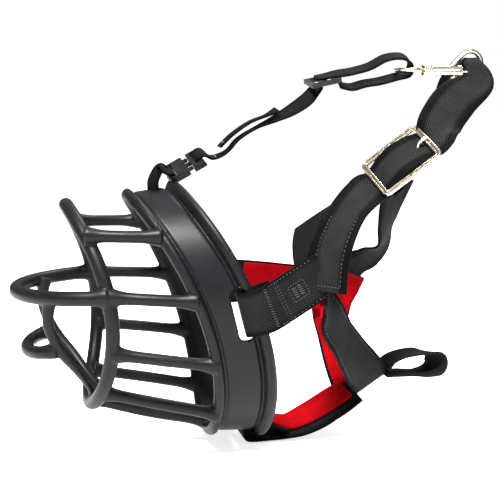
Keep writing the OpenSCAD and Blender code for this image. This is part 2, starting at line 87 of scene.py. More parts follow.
def make_camera():
    camera = bpy.data.objects.new("camera", bpy.data.cameras.new("camera"))
    bpy.context.scene.collection.objects.link(camera)
    back = direction(CAMERA_AZIMUTH, CAMERA_ELEVATION)
    camera.location = CAMERA_TARGET + back * CAMERA_DISTANCE
    camera.rotation_mode = "QUATERNION"
    camera.rotation_quaternion = (-back).to_track_quat("-Z", "Y")
    camera.data.lens = CAMERA_LENS
    camera.data.sensor_width = 36
    camera.data.clip_start = 0.05
    bpy.context.scene.camera = camera


def area_light(name, azimuth, elevation, distance, size, power):
    light = bpy.data.lights.new(name, "AREA")
    light.shape = "DISK"
    light.size = size
    light.energy = power
    lamp = bpy.data.objects.new(name, light)
    bpy.context.scene.collection.objects.link(lamp)
    back = direction(math.radians(azimuth), math.radians(elevation))
    lamp.location = CAMERA_TARGET + back * distance
    lamp.rotation_euler = (-back).to_track_quat("-Z", "Y").to_euler()


def make_world():
    """White behind the object; the light comes from a bright sky over a dim, warm horizon."""
    world = bpy.data.worlds.new("studio")
    bpy.context.scene.world = world
    world.use_nodes = True
    tree = world.node_tree
    sky = tree.nodes["Background"]
    height = tree.nodes.new("ShaderNodeSeparateXYZ")
    tree.links.new(tree.nodes.new("ShaderNodeTexCoord").outputs["Generated"], height.inputs[0])
    ramp = tree.nodes.new("ShaderNodeValToRGB")
    rescale = tree.nodes.new("ShaderNodeMapRange")
    rescale.inputs["From Min"].default_value = -1
    tree.links.new(height.outputs[2], rescale.inputs["Value"])
    tree.links.new(rescale.outputs["Result"], ramp.inputs["Fac"])
    stops = [(0.0, (0.5, 0.5, 0.5)), (0.42, (0.3, 0.28, 0.26)), (0.5, (0.16, 0.13, 0.1)), (0.58, (0.35, 0.33, 0.3)),
             (0.7, (0.85, 0.84, 0.82)), (0.9, (1.3, 1.3, 1.3))]
    tree.links.new(fill_ramp(ramp, stops), sky.inputs["Color"])
    sky.inputs["Strength"].default_value = SKY_STRENGTH
    white = tree.nodes.new("ShaderNodeBackground")
    white.inputs["Color"].default_value = (1, 1, 1, 1)
    mix = tree.nodes.new("ShaderNodeMixShader")
    tree.links.new(tree.nodes.new("ShaderNodeLightPath").outputs["Is Camera Ray"], mix.inputs[0])
    tree.links.new(sky.outputs[0], mix.inputs[1])
    tree.links.new(white.outputs[0], mix.inputs[2])
    tree.links.new(mix.outputs[0], tree.nodes["World Output"].inputs["Surface"])


def make_studio():
    make_world()
    bpy.context.scene.view_settings.view_transform = "Standard"
    area_light("key", 60, 58, 1.1, 0.25, 46)
    area_light("fill", 110, 20, 1.4, 0.5, 2.5)
    area_light("rim", 235, 55, 1.2, 0.4, 8)
    floor = bmesh.new()
    bmesh.ops.create_circle(floor, cap_ends=True, segments=96, radius=FLOOR_RADIUS)
    mesh = bpy.data.meshes.new("floor")
    floor.to_mesh(mesh)
    plane = bpy.data.objects.new("floor", mesh)
    bpy.context.scene.collection.objects.link(plane)
    plane.location.z = CAD_LOW.z - FLOOR_GAP
    plane.data.materials.append(floor_material())


# ---- materials ----

class Nodes:
    """A material's node tree, with short calls for the nodes used here."""

    def __init__(self, name, base=(0.8, 0.8, 0.8), roughness=0.5, metallic=0.0):
        self.material = bpy.data.materials.new(name)
        self.material.use_nodes = True
        self.tree = self.material.node_tree
        self.shader = self.tree.nodes["Principled BSDF"]
        self.shader.inputs["Base Color"].default_value = (*base, 1)
        self.shader.inputs["Roughness"].default_value = roughness
        self.shader.inputs["Metallic"].default_value = metallic

    def node(self, kind, **settings):
        made = self.tree.nodes.new(kind)
        for key, value in settings.items():
            setattr(made, key, value)
        return made

    def plug(self, socket, value):
        if isinstance(value, bpy.types.NodeSocket):
            self.tree.links.new(value, socket)
        else:
            socket.default_value = value

    def math(self, operation, *values):
        made = self.node("ShaderNodeMath", operation=operation)
        for socket, value in zip(made.inputs, values):
            self.plug(socket, value)
        return made.outputs[0]

    def noise(self, scale, detail=3.0):
        made = self.node("ShaderNodeTexNoise")
        made.inputs["Scale"].default_value = scale
        made.inputs["Detail"].default_value = detail
        self.plug(made.inputs["Vector"], self.node("ShaderNodeTexCoord").outputs["Object"])
        return made.outputs["Fac"]

    def strap_place(self):
        """Distances along and across a strap, in millimetres."""
        attribute = self.node("ShaderNodeAttribute", attribute_name="strap_place")
        split = self.node("ShaderNodeSeparateXYZ")
        self.plug(split.inputs[0], attribute.outputs["Vector"])
        return split.outputs[0], split.outputs[1]

    def ramp(self, value, stops):
        made = self.node("ShaderNodeValToRGB")
        self.plug(made.inputs["Fac"], value)
        return fill_ramp(made, stops)

    def level(self, value, low, high):
        made = self.node("ShaderNodeMapRange")
        self.plug(made.inputs["Value"], value)
        made.inputs["To Min"].default_value = low
        made.inputs["To Max"].default_value = high
        return made.outputs["Result"]

    def colour(self, value):
        self.plug(self.shader.inputs["Base Color"], value)

    def roughness(self, value):
        self.plug(self.shader.inputs["Roughness"], value)

    def bump(self, height, distance, strength):
        made = self.node("ShaderNodeBump")
        made.inputs["Distance"].default_value = distance
        made.inputs["Strength"].default_value = strength
        self.plug(made.inputs["Height"], height)
        self.plug(self.shader.inputs["Normal"], made.outputs["Normal"])


def floor_material():
    nodes = Nodes("floor", (0.8, 0.8, 0.8), 0.9)
    nodes.shader.inputs["Specular IOR Level"].default_value = 0.0
    nodes.shader.inputs["Emission Color"].default_value = (1, 1, 1, 1)
    nodes.shader.inputs["Emission Strength"].default_value = FLOOR_GLOW
    return nodes.material


def moulding_material():
    nodes = Nodes("moulded_rubber", (0.03, 0.03, 0.032), 0.42)
    cloud = nodes.noise(60, 4)
    grain = nodes.noise(1800, 2)
    pointy = nodes.node("ShaderNodeNewGeometry").outputs["Pointiness"]
    edge = nodes.math("SMOOTH_MIN", nodes.level(pointy, -4.0, 5.0), 1.0, 0.1)
    shade = nodes.math("ADD", nodes.math("MULTIPLY", cloud, 0.5), nodes.math("MULTIPLY", edge, 0.25))
    nodes.colour(nodes.ramp(shade, [(0.1, (0.002, 0.002, 0.0025)), (0.9, (0.008, 0.008, 0.0095))]))
    nodes.shader.inputs["Specular IOR Level"].default_value = 0.15
    nodes.roughness(nodes.level(cloud, 0.34, 0.5))
    nodes.bump(grain, 0.00005, 0.5)
    return nodes.material


def webbing_material(name, dark, light, rib=1.15, pick=0.95, edge=10.5):
    """Woven nylon: ribs along the strap, crossed by picks in alternate order."""
    nodes = Nodes(name, dark, 0.62)
    along, across = nodes.strap_place()
    column = nodes.math("FLOOR", nodes.math("DIVIDE", across, rib))
    shift = nodes.math("MULTIPLY", nodes.math("PINGPONG", column, 1.0), math.pi)
    ribs = nodes.math("ABSOLUTE", nodes.math("SINE", nodes.math("MULTIPLY", across, math.pi / rib)))
    picks = nodes.math("SINE", nodes.math("ADD", nodes.math("MULTIPLY", along, math.pi / pick), shift))
    weave = nodes.math("MULTIPLY", ribs, nodes.level(picks, 0.45, 1.0))
    fuzz = nodes.noise(2600, 2)
    patch = nodes.noise(70, 3)
    height = nodes.math("ADD", weave, nodes.math("MULTIPLY", fuzz, 0.35))
    # The colour follows the weave's height: painted shade in the hollows between ribs and picks and a painted highlight
    # on their crowns, mixed with random patches of tone.
    shade = nodes.math("ADD", nodes.math("MULTIPLY", height, 0.6), nodes.math("MULTIPLY", patch, 0.3))
    middle = nodes.node("ShaderNodeMapRange", interpolation_type="SMOOTHSTEP")
    nodes.plug(middle.inputs["Value"], nodes.math("ABSOLUTE", across))
    for socket, value in (("From Min", edge + 1.5), ("From Max", edge - 2.5), ("To Min", 0.35), ("To Max", 1.0)):
        middle.inputs[socket].default_value = value
    nodes.colour(nodes.ramp(nodes.math("MULTIPLY", shade, middle.outputs["Result"]), [(0.2, dark), (0.95, light)]))
    nodes.roughness(nodes.level(fuzz, 0.5, 0.75))
    nodes.shader.inputs["Specular IOR Level"].default_value = 0.04
    nodes.shader.inputs["Sheen Weight"].default_value = 0.012
    nodes.shader.inputs["Sheen Roughness"].default_value = 0.4
    nodes.bump(height, 0.00022, 0.8)
    return nodes.material


def lining_material():
    nodes = Nodes("red_lining", (0.62, 0.008, 0.016), 0.85)
    felt = nodes.noise(1500, 4)
    patch = nodes.noise(120, 3)
    shade = nodes.math("ADD", nodes.math("MULTIPLY", felt, 0.5), nodes.math("MULTIPLY", patch, 0.5))
    nodes.colour(nodes.ramp(shade, [(0.3, (0.13, 0.0, 0.0012)), (0.7, (0.3, 0.0005, 0.003))]))
    nodes.shader.inputs["Specular IOR Level"].default_value = 0.04
    nodes.bump(felt, 0.0004, 0.7)
    return nodes.material


def nickel_material():
    nodes = Nodes("nickel_plate", (0.82, 0.77, 0.68), 0.16, 1.0)
    wear = nodes.noise(260, 4)
    scratch = nodes.noise(2200, 2)
    pointy = nodes.node("ShaderNodeNewGeometry").outputs["Pointiness"]
    shade = nodes.math("ADD", nodes.math("MULTIPLY", wear, 0.3), nodes.level(pointy, -2.2, 3.0))
    nodes.colour(nodes.ramp(shade, [(0.3, (0.16, 0.1, 0.05)), (0.5, (0.55, 0.47, 0.34)), (0.75, (0.8, 0.74, 0.6))]))
    nodes.roughness(nodes.level(wear, 0.1, 0.26))
    nodes.bump(scratch, 0.00002, 0.4)
    return nodes.material


def spring_material():
    nodes = Nodes("spring_steel", (0.45, 0.45, 0.46), 0.3, 1.0)
    nodes.roughness(nodes.level(nodes.noise(900), 0.22, 0.4))
    return nodes.material


def acetal_material():
    nodes = Nodes("black_acetal", (0.01, 0.01, 0.011), 0.32)
    cloud = nodes.noise(220, 3)
    grain = nodes.noise(3500, 2)
    nodes.colour(nodes.ramp(cloud, [(0.3, (0.003, 0.003, 0.0035)), (0.8, (0.008, 0.008, 0.009))]))
    nodes.roughness(nodes.level(cloud, 0.26, 0.4))
    nodes.shader.inputs["Specular IOR Level"].default_value = 0.25
    nodes.bump(grain, 0.00003, 0.5)
    return nodes.material


def thread_material(name, colour):
    nodes = Nodes(name, colour, 0.55)
    twist = nodes.noise(4000, 2)
    nodes.bump(twist, 0.00005, 0.6)
    nodes.roughness(nodes.level(twist, 0.45, 0.7))
    return nodes.material


# ---- meshes from rings of points ----

def smooth(a, b, c, d, t):
    """A point on the smooth curve through four neighbours, as the CAD straps use."""
    return 0.5 * (2 * b + (c - a) * t + (2 * a - 5 * b + 4 * c - d) * t * t + (3 * b - a - 3 * c + d) * t ** 3)


def refine(rows, steps):
    rows = np.array(rows, float)
    last = len(rows) - 1
    fine = []
    for i in range(last + 1):
        before, after, beyond = rows[max(i - 1, 0)], rows[min(i + 1, last)], rows[min(i + 2, last)]
        for j in range(steps if i < last else 1):
            fine.append(smooth(before, rows[i], after, beyond, j / steps))
    return np.array(fine)


def unit(vectors):
    vectors = np.asarray(vectors, float)
    return vectors / np.linalg.norm(vectors, axis=-1, keepdims=True)


def tangents(points):
    ahead = np.vstack([points[1:], points[-1:]])
    behind = np.vstack([points[:1], points[:-1]])
    return unit(ahead - behind)


def add_object(name, mesh, material, body):
    piece = bpy.data.objects.new(name, mesh)
    bpy.context.scene.collection.objects.link(piece)
    mesh.materials.clear()
    mesh.materials.append(material)
    mesh.shade_smooth()
    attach(piece, body)
    return piece


def mesh_from_rings(name, rings, closed=False):
    """A closed solid through rings of points in millimetres, each with the same number of points."""
    count, sides = len(rings), len(rings[0])
    points = np.concatenate(rings) * MM
    faces = []
    for i in range(count if closed else count - 1):
        for j in range(sides):
            a, b = i * sides + j, i * sides + (j + 1) % sides
            c = (i + 1) % count * sides + (j + 1) % sides
            faces.append((a, b, c, (i + 1) % count * sides + j))
    if not closed:
        faces.append(tuple(reversed(range(sides))))
        faces.append(tuple((count - 1) * sides + j for j in range(sides)))
    mesh = bpy.data.meshes.new(name)
    mesh.from_pydata(points.tolist(), [], faces)
    tidy = bmesh.new()
    tidy.from_mesh(mesh)
    bmesh.ops.recalc_face_normals(tidy, faces=tidy.faces)
    tidy.to_mesh(mesh)
    tidy.free()
    return mesh


def bar_rings(points, radii, sides=16, flat=(0, 0, 1), squeeze=1.0):
    """Rings of a bar; squeeze is its thickness along flat as a share of its width."""
    points = np.asarray(points, float)
    radii = np.broadcast_to(radii, len(points))
    along = tangents(points)
    across = unit(np.cross(along, flat))
    up = np.cross(across, along)
    turn = np.arange(sides) * 2 * math.pi / sides
    return [p + np.outer(np.cos(turn), a) * r + np.outer(np.sin(turn), u) * r * squeeze
            for p, a, u, r in zip(points, across, up, radii)]


class Strap:
    """A flat strap along rows of [x, y, z, side x, side y, side z, width], in millimetres."""

    def __init__(self, rows, thickness, steps=10):
        fine = refine(rows, steps)
        self.points = fine[:, :3]
        self.widths = fine[:, 6]
        along = tangents(self.points)
        side = fine[:, 3:6]
        side = side - (side * along).sum(1, keepdims=True) * along
        self.across = unit(side)
        self.normals = np.cross(self.across, along)
        steps_taken = np.linalg.norm(np.diff(self.points, axis=0), axis=1)
        self.lengths = np.concatenate([[0], np.cumsum(steps_taken)])
        self.thickness = thickness * self.widths.max() / self.widths

    def at(self, along, across, height):
        """The point at those distances along, across and above the strap's middle."""
        i = int(np.clip(np.searchsorted(self.lengths, along) - 1, 0, len(self.lengths) - 2))
        t = (along - self.lengths[i]) / (self.lengths[i + 1] - self.lengths[i])
        mix = lambda values: values[i] * (1 - t) + values[i + 1] * t
        return mix(self.points) + mix(self.across) * across + mix(self.normals) * height

    def face(self, along, side):
        """Height of the face above the strap's middle there: side is 1 or -1."""
        return side * float(np.interp(along, self.lengths, self.thickness)) / 2


def section(half, deep, edge, flats=10, turns=4, bulge=0.08, crown=0.0):
    """Outline of a strap: flat faces, slightly thicker selvedges and round edges."""
    flat = np.linspace(-1, 1, flats + 1)
    thick = 1 + bulge * np.abs(flat) ** 6 - bulge / 2 + crown * (1 - flat ** 2)
    top = [(x * (half - edge), deep * t) for x, t in zip(flat, thick)]
    right = [(half - edge + edge * math.cos(a), deep * thick[-1] * math.sin(a))
             for a in np.linspace(math.pi / 2, -math.pi / 2, turns + 1)[1:-1]]
    bottom = [(x, -y) for x, y in reversed(top)]
    left = [(-x, -y) for x, y in right]
    return np.array(top + right + bottom + left)


RIPPLE = 0.12
RIPPLE_SCALE = 0.09
SLANT_REACH = 9


def strap_mesh(name, strap, lift=0, shift=0, trim=0, crown=0.0, slant=0):
    """The solid strap, with its distances along and across kept for the weave; slant skews its far end."""
    rings, places = [], []
    for i in range(len(strap.points)):
        deep = strap.thickness[i] / 2
        outline = section(strap.widths[i] / 2 - trim, deep, min(0.7, deep), crown=crown)
        centre = strap.points[i] + strap.normals[i] * lift + strap.across[i] * shift
        ring = centre + np.outer(outline[:, 0], strap.across[i]) + np.outer(outline[:, 1], strap.normals[i])
        wave = [noise.noise(Vector(p) * RIPPLE_SCALE + Vector((lift, 0, 0))) * RIPPLE for p in ring]
        ring = ring + np.outer(wave, strap.normals[i])
        if slant:
            left = strap.lengths[-1] - strap.lengths[i]
            skew = slant * (outline[:, 0] / (strap.widths[i] / 2) + 1) / 2 * math.exp(-(left / SLANT_REACH) ** 2)
            tangent = np.cross(strap.normals[i], strap.across[i])
            ring = ring + np.outer(skew, tangent)
        rings.append(ring)
        places.extend((strap.lengths[i], x + shift, lift) for x, _ in outline)
    mesh = mesh_from_rings(name, rings)
    attribute = mesh.attributes.new("strap_place", "FLOAT_VECTOR", "POINT")
    attribute.data.foreach_set("vector", np.array(places, np.float32).ravel())
    return mesh


def capsules(name, spans, radius, sides=6):
    """Short thread stitches between pairs of points, as one mesh, each sunk at its ends."""
    points, faces = [], []
    for start, end, normal in spans:
        start, end = np.asarray(start), np.asarray(end)
        along = unit(end - start)
        side = unit(np.cross(along, normal))
        length = np.linalg.norm(end - start)
        profile = [(0, 0.25, -0.5), (0.15, 0.8, -0.1), (0.5, 1, 0.15), (0.85, 0.8, -0.1), (1, 0.25, -0.5)]
        base = len(points)
        for t, grow, rise in profile:
            middle = start + along * length * t + normal * radius * rise
            for k in range(sides):
                turn = 2 * math.pi * k / sides
                points.append(middle + (side * math.cos(turn) + normal * math.sin(turn)) * radius * grow)
        for i in range(len(profile) - 1):
            for k in range(sides):
                a, b = base + i * sides + k, base + i * sides + (k + 1) % sides
                faces.append((a, b, b + sides, a + sides))
        faces.append(tuple(base + k for k in reversed(range(sides))))
        faces.append(tuple(base + (len(profile) - 1) * sides + k for k in range(sides)))
    mesh = bpy.data.meshes.new(name)
    mesh.from_pydata((np.array(points) * MM).tolist(), [], faces)
    return mesh


STITCH_GAP = 0.9


def stitch_path(strap, places, pitch, side=1):
    """Stitches along straight runs between (along, across) places on a strap's face."""
    spans = []
    for (u0, v0), (u1, v1) in zip(places, places[1:]):
        run = math.hypot(u1 - u0, v1 - v0)
        count = max(1, round(run / pitch))
        for k in range(count):
            t0, t1 = (k + STITCH_GAP / pitch / 2) / count, (k + 1 - STITCH_GAP / pitch / 2) / count
            ends = []
            for t in (t0, t1):
                u, v = u0 + (u1 - u0) * t, v0 + (v1 - v0) * t
                ends.append(strap.at(u, v, strap.face(u, side)))
            middle = strap.lengths.searchsorted(u0 + (u1 - u0) * (t0 + t1) / 2)
            normal = strap.normals[min(middle, len(strap.normals) - 1)] * side
            spans.append((ends[0], ends[1], normal))
    return spans


def bar_tack(strap, along, length, width, count):
    """A dense zigzag of thread across the middle of a strap's outer face."""
    spans = []
    for k in range(count):
        v = -length / 2 + length * k / (count - 1)
        ends = [strap.at(along + s * width / 2, v + s * 0.3, strap.face(along, 1)) for s in (-1, 1)]
        middle = min(strap.lengths.searchsorted(along), len(strap.normals) - 1)
        spans.append((ends[0], ends[1], strap.normals[middle]))
    return spans


def webbing(name, strap, material, replaces, **shape):
    piece = add_object(name, strap_mesh(name, strap, **shape), material, "harness")
    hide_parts(replaces)
    return piece


def stitches(name, spans, material, radius):
    piece = add_object(name, capsules(name, spans, radius), material, "harness")


# ---- basket ----

RIM_HALF_HEIGHT = 67.5
RIM_HALF_WIDTH = 56
RIM_DEPTH = 31
RIM_STEPS = 144
RIM_FRONT_Y = -17
RING_START = 0.002
HOOP_STEPS = 120
BAR_R = 3.2
HOOP_R = 4
VOXEL, QUICK_VOXEL = 0.7 * MM, 1.1 * MM


def bow(z):
    """How far the rim's edge leans with height."""
    return -0.32 * z - 0.003 * z * z


def hoop_y(z):
    """Where the front hoop lies at a height."""
    return -68 - 0.02 * z - 0.0045 * z * z


def sign_power(value, power):
    return math.copysign(abs(value) ** power, value)


def rim_point(angle, axial, radial):
    """A point of the rim: axial is the distance behind its front edge, radial the distance outwards."""
    grow = 2.5 * axial / RIM_DEPTH
    width, height = RIM_HALF_WIDTH + grow, RIM_HALF_HEIGHT + grow
    out = unit([math.sin(angle) * height, 0, math.cos(angle) * width])
    x = width * (1 + 0.12 * math.cos(angle)) * sign_power(math.sin(angle), 0.86)
    z = 2 + 0.05 * axial + height * math.cos(angle)
    return np.array([x, RIM_FRONT_Y + bow(z) + axial, z]) + out * radial


# The rim's outline as (axial, radial) pairs: front bead, outer face with its grooves, rear lip, inner face.
RIM_SECTION = [
    (-3.4, 0), (-3.1, 1.9), (-1.9, 3.6), (0, 4.3), (1.8, 3.6), (2.6, 2.0), (3.3, 0.5), (4.2, 0.3), (5.2, 1.5),
    (12, 1.5), (RIM_DEPTH - 9.5, 1.5), (RIM_DEPTH - 8.2, 1.2), (RIM_DEPTH - 7.4, -0.1), (RIM_DEPTH - 6.2, -0.1),
    (RIM_DEPTH - 5.5, 2.6),
    (RIM_DEPTH - 4.2, 4.6), (RIM_DEPTH - 2, 5.1), (RIM_DEPTH - 0.4, 4.2), (RIM_DEPTH + 0.6, 2.6),
    (RIM_DEPTH + 0.6, 0.9), (RIM_DEPTH - 0.6, -0.3), (RIM_DEPTH - 3, -1.1), (RIM_DEPTH - 6, -1.7),
    (RIM_DEPTH - 16, -1.9), (3, -1.8), (1.6, -2.4), (0, -2.6), (-1.6, -2.2), (-2.8, -1.2),
]


def rounded_box_cutter(centre, size, radius, turn=0):
    """A block with round corners in YZ, for cutting a slot; size is along x, y and z."""
    outline = []
    for corner, (sy, sz) in enumerate([(1, 1), (-1, 1), (-1, -1), (1, -1)]):
        for a in np.linspace(corner * math.pi / 2, (corner + 1) * math.pi / 2, 7):
            outline.append((sy * (size[1] / 2 - radius) + radius * math.cos(a),
                            sz * (size[2] / 2 - radius) + radius * math.sin(a)))
    c, s = math.cos(turn), math.sin(turn)
    ring = [np.array([0, y * c - z * s, y * s + z * c]) for y, z in outline]
    return [np.array([np.array(centre) + p + np.array([side * size[0] / 2, 0, 0]) for p in ring]) for side in (-1, 1)]


def modified(piece, kind, **settings):
    modifier = piece.modifiers.new(kind.lower(), kind)
    for key, value in settings.items():
        setattr(modifier, key, value)


def applied(piece):
    """Replaces a piece's mesh with its modified one."""
    graph = bpy.context.evaluated_depsgraph_get()
    mesh = bpy.data.meshes.new_from_object(piece.evaluated_get(graph))
    piece.modifiers.clear()
    piece.data = mesh


def scratch(mesh):
    piece = bpy.data.objects.new(mesh.name, mesh)
    bpy.context.scene.collection.objects.link(piece)
    return piece


def cut(piece, rings):
    cutter = scratch(mesh_from_rings("cutter", rings))
    modified(piece, "BOOLEAN", operation="DIFFERENCE", object=cutter, solver="EXACT")
    applied(piece)
    bpy.data.objects.remove(cutter)


def rim_mesh():
    turns = np.arange(RIM_STEPS) * 2 * math.pi / RIM_STEPS + RING_START
    rings = [np.array([rim_point(a, p[0], p[1]) for p in RIM_SECTION]) for a in turns]
    piece = scratch(mesh_from_rings("rim", rings, closed=True))
    for side in (-1, 1):
        cut(piece, rounded_box_cutter([side * 60, 0.5, 9.5], [24, 8.4, 29], 3.2, math.radians(14)))
    cut(piece, rounded_box_cutter([0, -37.5, 71], [14, 5, 24], 1.6))
    cut(piece, rounded_box_cutter([0, 12, -70], [28, 7, 24], 1.6))
    return piece


def hoop_rings():
    turns = np.arange(HOOP_STEPS) * 2 * math.pi / HOOP_STEPS + RING_START
    points = np.array([[51 * sign_power(math.sin(a), 0.9), hoop_y(9 + 56 * math.cos(a)), 9 + 56 * math.cos(a)]
                       for a in turns])
    ahead, behind = np.roll(points, -1, 0), np.roll(points, 1, 0)
    along = unit(ahead - behind)
    across = unit(np.cross(along, [0, 1, 0]))
    up = np.cross(across, along)
    ring = np.arange(14) * 2 * math.pi / 14
    return [p + np.outer(np.cos(ring), a) * HOOP_R + np.outer(np.sin(ring), u) * HOOP_R
            for p, a, u in zip(points, across, up)]


def flared(points, radius, steps, flare, reach=5.0, flat=(0, 0, 1), squeeze=1.0):
    """A bar that widens towards its moulded ends."""
    fine = refine(points, steps)
    gone = np.concatenate([[0], np.cumsum(np.linalg.norm(np.diff(fine, axis=0), axis=1))])
    left, right = gone, gone[-1] - gone
    radii = radius + flare * (np.exp(-(left / reach) ** 2) + np.exp(-(right / reach) ** 2))
    return bar_rings(fine, radii, 14, flat, squeeze)


FRONT_BAR = [(35, -100, 19), (33, -101, 5), (31, -98, -5), (28, -93, -14), (22, -85, -24), (14, -78, -34),
             (9, -73, -42)]
# Each side bar as its (x, z) on the hoop and its (x, z) on the rim.
SIDE_BARS = [((41, 52), (47, 51)), ((50.5, 20), (57, 17)), ((48, -11), (53, -19)), ((29, -36), (36, -50))]


def basket_parts():
    """Rings of every bar and ring of the basket, apart from the rim and the front hoop."""
    nose = [(51 * math.sin(math.radians(a)), -71 - 46 * abs(math.cos(math.radians(a))) ** 1.1,
             20 - 2 * math.cos(math.radians(a))) for a in range(-90, 91, 5)]
    yield flared(nose, 3.9, 2, 1.4, squeeze=1.05)
    lower = [(29 * math.sin(math.radians(a)), -97 - 14.5 * abs(math.cos(math.radians(a))) ** 0.9,
              -11.5 - 3.5 * math.cos(math.radians(a))) for a in range(-90, 91, 10)]
    yield flared(lower, 3.7, 2, 1.0)
    for side in (-1, 1):
        yield flared([(side * x, y, z) for x, y, z in FRONT_BAR], BAR_R, 6, 1.6, flat=(0, 1, 1))
        for (hx, hz), (rx, rz) in SIDE_BARS:
            start = np.array([side * hx, hoop_y(hz), hz])
            end = np.array([side * rx, RIM_FRONT_Y + bow(rz), rz])
            middle = (start + end) / 2 + np.array([side * 1.5, 0, 0])
            yield flared([start, middle, end], BAR_R, 14, 1.7, reach=6.5, squeeze=1.05)
    yield flared([(0, hoop_y(-46), -46), (0, -45, -55.5), (0, -9, -63)], BAR_R, 14, 1.7, reach=6.5)


def make_basket(material):
    """One moulding: all its bars and rings are joined by a fine remesh, which fillets the crossings."""
    piece = rim_mesh()
    joined = bmesh.new()
    joined.from_mesh(piece.data)
    joined.from_mesh(mesh_from_rings("hoop", hoop_rings(), closed=True))
    for rings in basket_parts():
        joined.from_mesh(mesh_from_rings("bar", rings))
    joined.to_mesh(piece.data)
    joined.free()
    modified(piece, "REMESH", mode="VOXEL", voxel_size=VOXEL)
    modified(piece, "SMOOTH", factor=0.5, iterations=3)
    applied(piece)
    mesh = piece.data
    bpy.data.objects.remove(piece)
    basket = add_object("basket_moulding", mesh, material, "harness")
    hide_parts("rim_band", "front_hoop", "nose_ring", "lower_front_ring", "front_bar_left",
                "front_bar_right", "side_bars_left", "side_bars_right", "lower_centre_bar")


# ---- places of the buckle and the clip, as in the CAD ----

def turned(vector, degrees):
    a, b, c = (math.radians(d) for d in degrees)
    turn = Matrix.Rotation(c, 3, "Z") @ Matrix.Rotation(b, 3, "Y") @ Matrix.Rotation(a, 3, "X")
    return np.array(turn @ Vector(vector))


BUCKLE_AT = np.array([42, 94, 90])
BUCKLE_TURN = (44, 29, 13)
BUCKLE_END = 18
HEEL_Z = -1.4
WEB_W = 25
WEB_T = 1.6
HEAD_W = 10
HEAD_T = 1.4
LINING_T = 1.6
CLIP_AT = np.array([1, -21.5, 85.8])
CLIP_TURN = (32, 25, 15)


def buckle_row(y, z, width=WEB_W):
    return [*(BUCKLE_AT + turned((0, y, z), BUCKLE_TURN)), *turned((1, 0, 0), BUCKLE_TURN), width]


def clip_row(y, z, width=HEAD_W):
    return [*(CLIP_AT + turned((0, y, z), CLIP_TURN)), *turned((1, 0, 0), CLIP_TURN), width]


# ---- strap routes, in millimetres ----
# The routes are the CAD's, but for the 26 mm rows in the buckle and the lower layer's end at the slider.
# Neither neck strap has a hole for the prong here, so the prong passes through them.

CHEEK_LEFT = [
    [58.5, 45.5, 30.5, 0.1, -0.5, 0.86, WEB_W], [59, 33, 23, 0, -0.5, 0.86, WEB_W],
    [61.5, 22, 17, 0, -0.45, 0.88, WEB_W], [66.5, 12, 13, 0, -0.4, 0.9, WEB_W], [66, 5, 11, 0, -0.3, 0.95, WEB_W],
    [62, 1, 10, 0, -0.25, 0.97, WEB_W], [57, 0.5, 9.5, 0, -0.25, 0.97, WEB_W], [53.5, 3, 10, 0, -0.25, 0.97, WEB_W],
    [52.5, 10, 12, 0, -0.3, 0.95, WEB_W], [53.5, 20, 15.5, 0, -0.4, 0.9, WEB_W],
]
CHEEK_RIGHT = [
    [-54, 70, 6, 0, 0.1, 1, WEB_W], [-55, 54, 8, 0, 0.05, 1, WEB_W], [-58, 36, 10, 0, 0, 1, WEB_W],
    [-64, 20, 11, 0, -0.1, 1, WEB_W], [-66.5, 12, 11, 0, -0.2, 0.98, WEB_W], [-66, 5, 10, 0, -0.25, 0.97, WEB_W],
    [-62, 1, 9.5, 0, -0.25, 0.97, WEB_W], [-57, 0.5, 9.5, 0, -0.25, 0.97, WEB_W],
    [-53.5, 3, 10, 0, -0.25, 0.97, WEB_W], [-52.5, 10, 10, 0, -0.2, 0.98, WEB_W], [-53.5, 20, 10, 0, -0.1, 1, WEB_W],
]
CHEEK_LEFT_LINING = [
    [56.2, 44, 29.5, 0.1, -0.5, 0.86, WEB_W], [56.7, 33, 23, 0.05, -0.5, 0.86, WEB_W],
    [58, 25, 18.8, 0.1, -0.45, 0.88, WEB_W],
]
CHEEK_RIGHT_LINING = [
    [-51.8, 70, 6, 0, 0.1, 1, WEB_W], [-52.8, 54, 8, 0, 0.05, 1, WEB_W], [-55.4, 36, 10, 0, 0, 1, WEB_W],
    [-57.6, 25, 10.5, 0, -0.05, 1, WEB_W],
]
NECK_LEFT = [
    [59, 46, 21, 0.76, 0.65, 0, WEB_W], [58.5, 46.5, 35.5, 0.74, 0.66, -0.05, WEB_W],
    [57, 50.5, 48, 0.76, 0.64, 0, WEB_W], [49, 58.5, 60, 0.76, 0.64, 0, WEB_W],
    [37.5, 74.3, 72, 0.68, 0.68, -0.28, WEB_W],
    buckle_row(-15, -4.8), buckle_row(-7, -2.2), buckle_row(-2, HEEL_Z + 1.9), buckle_row(1, HEEL_Z + 2.3),
    buckle_row(2.9, HEEL_Z), buckle_row(1, HEEL_Z - 2.4), buckle_row(-4, HEEL_Z - 3.1),
    buckle_row(-9, -6), buckle_row(-15, -6.8),
]
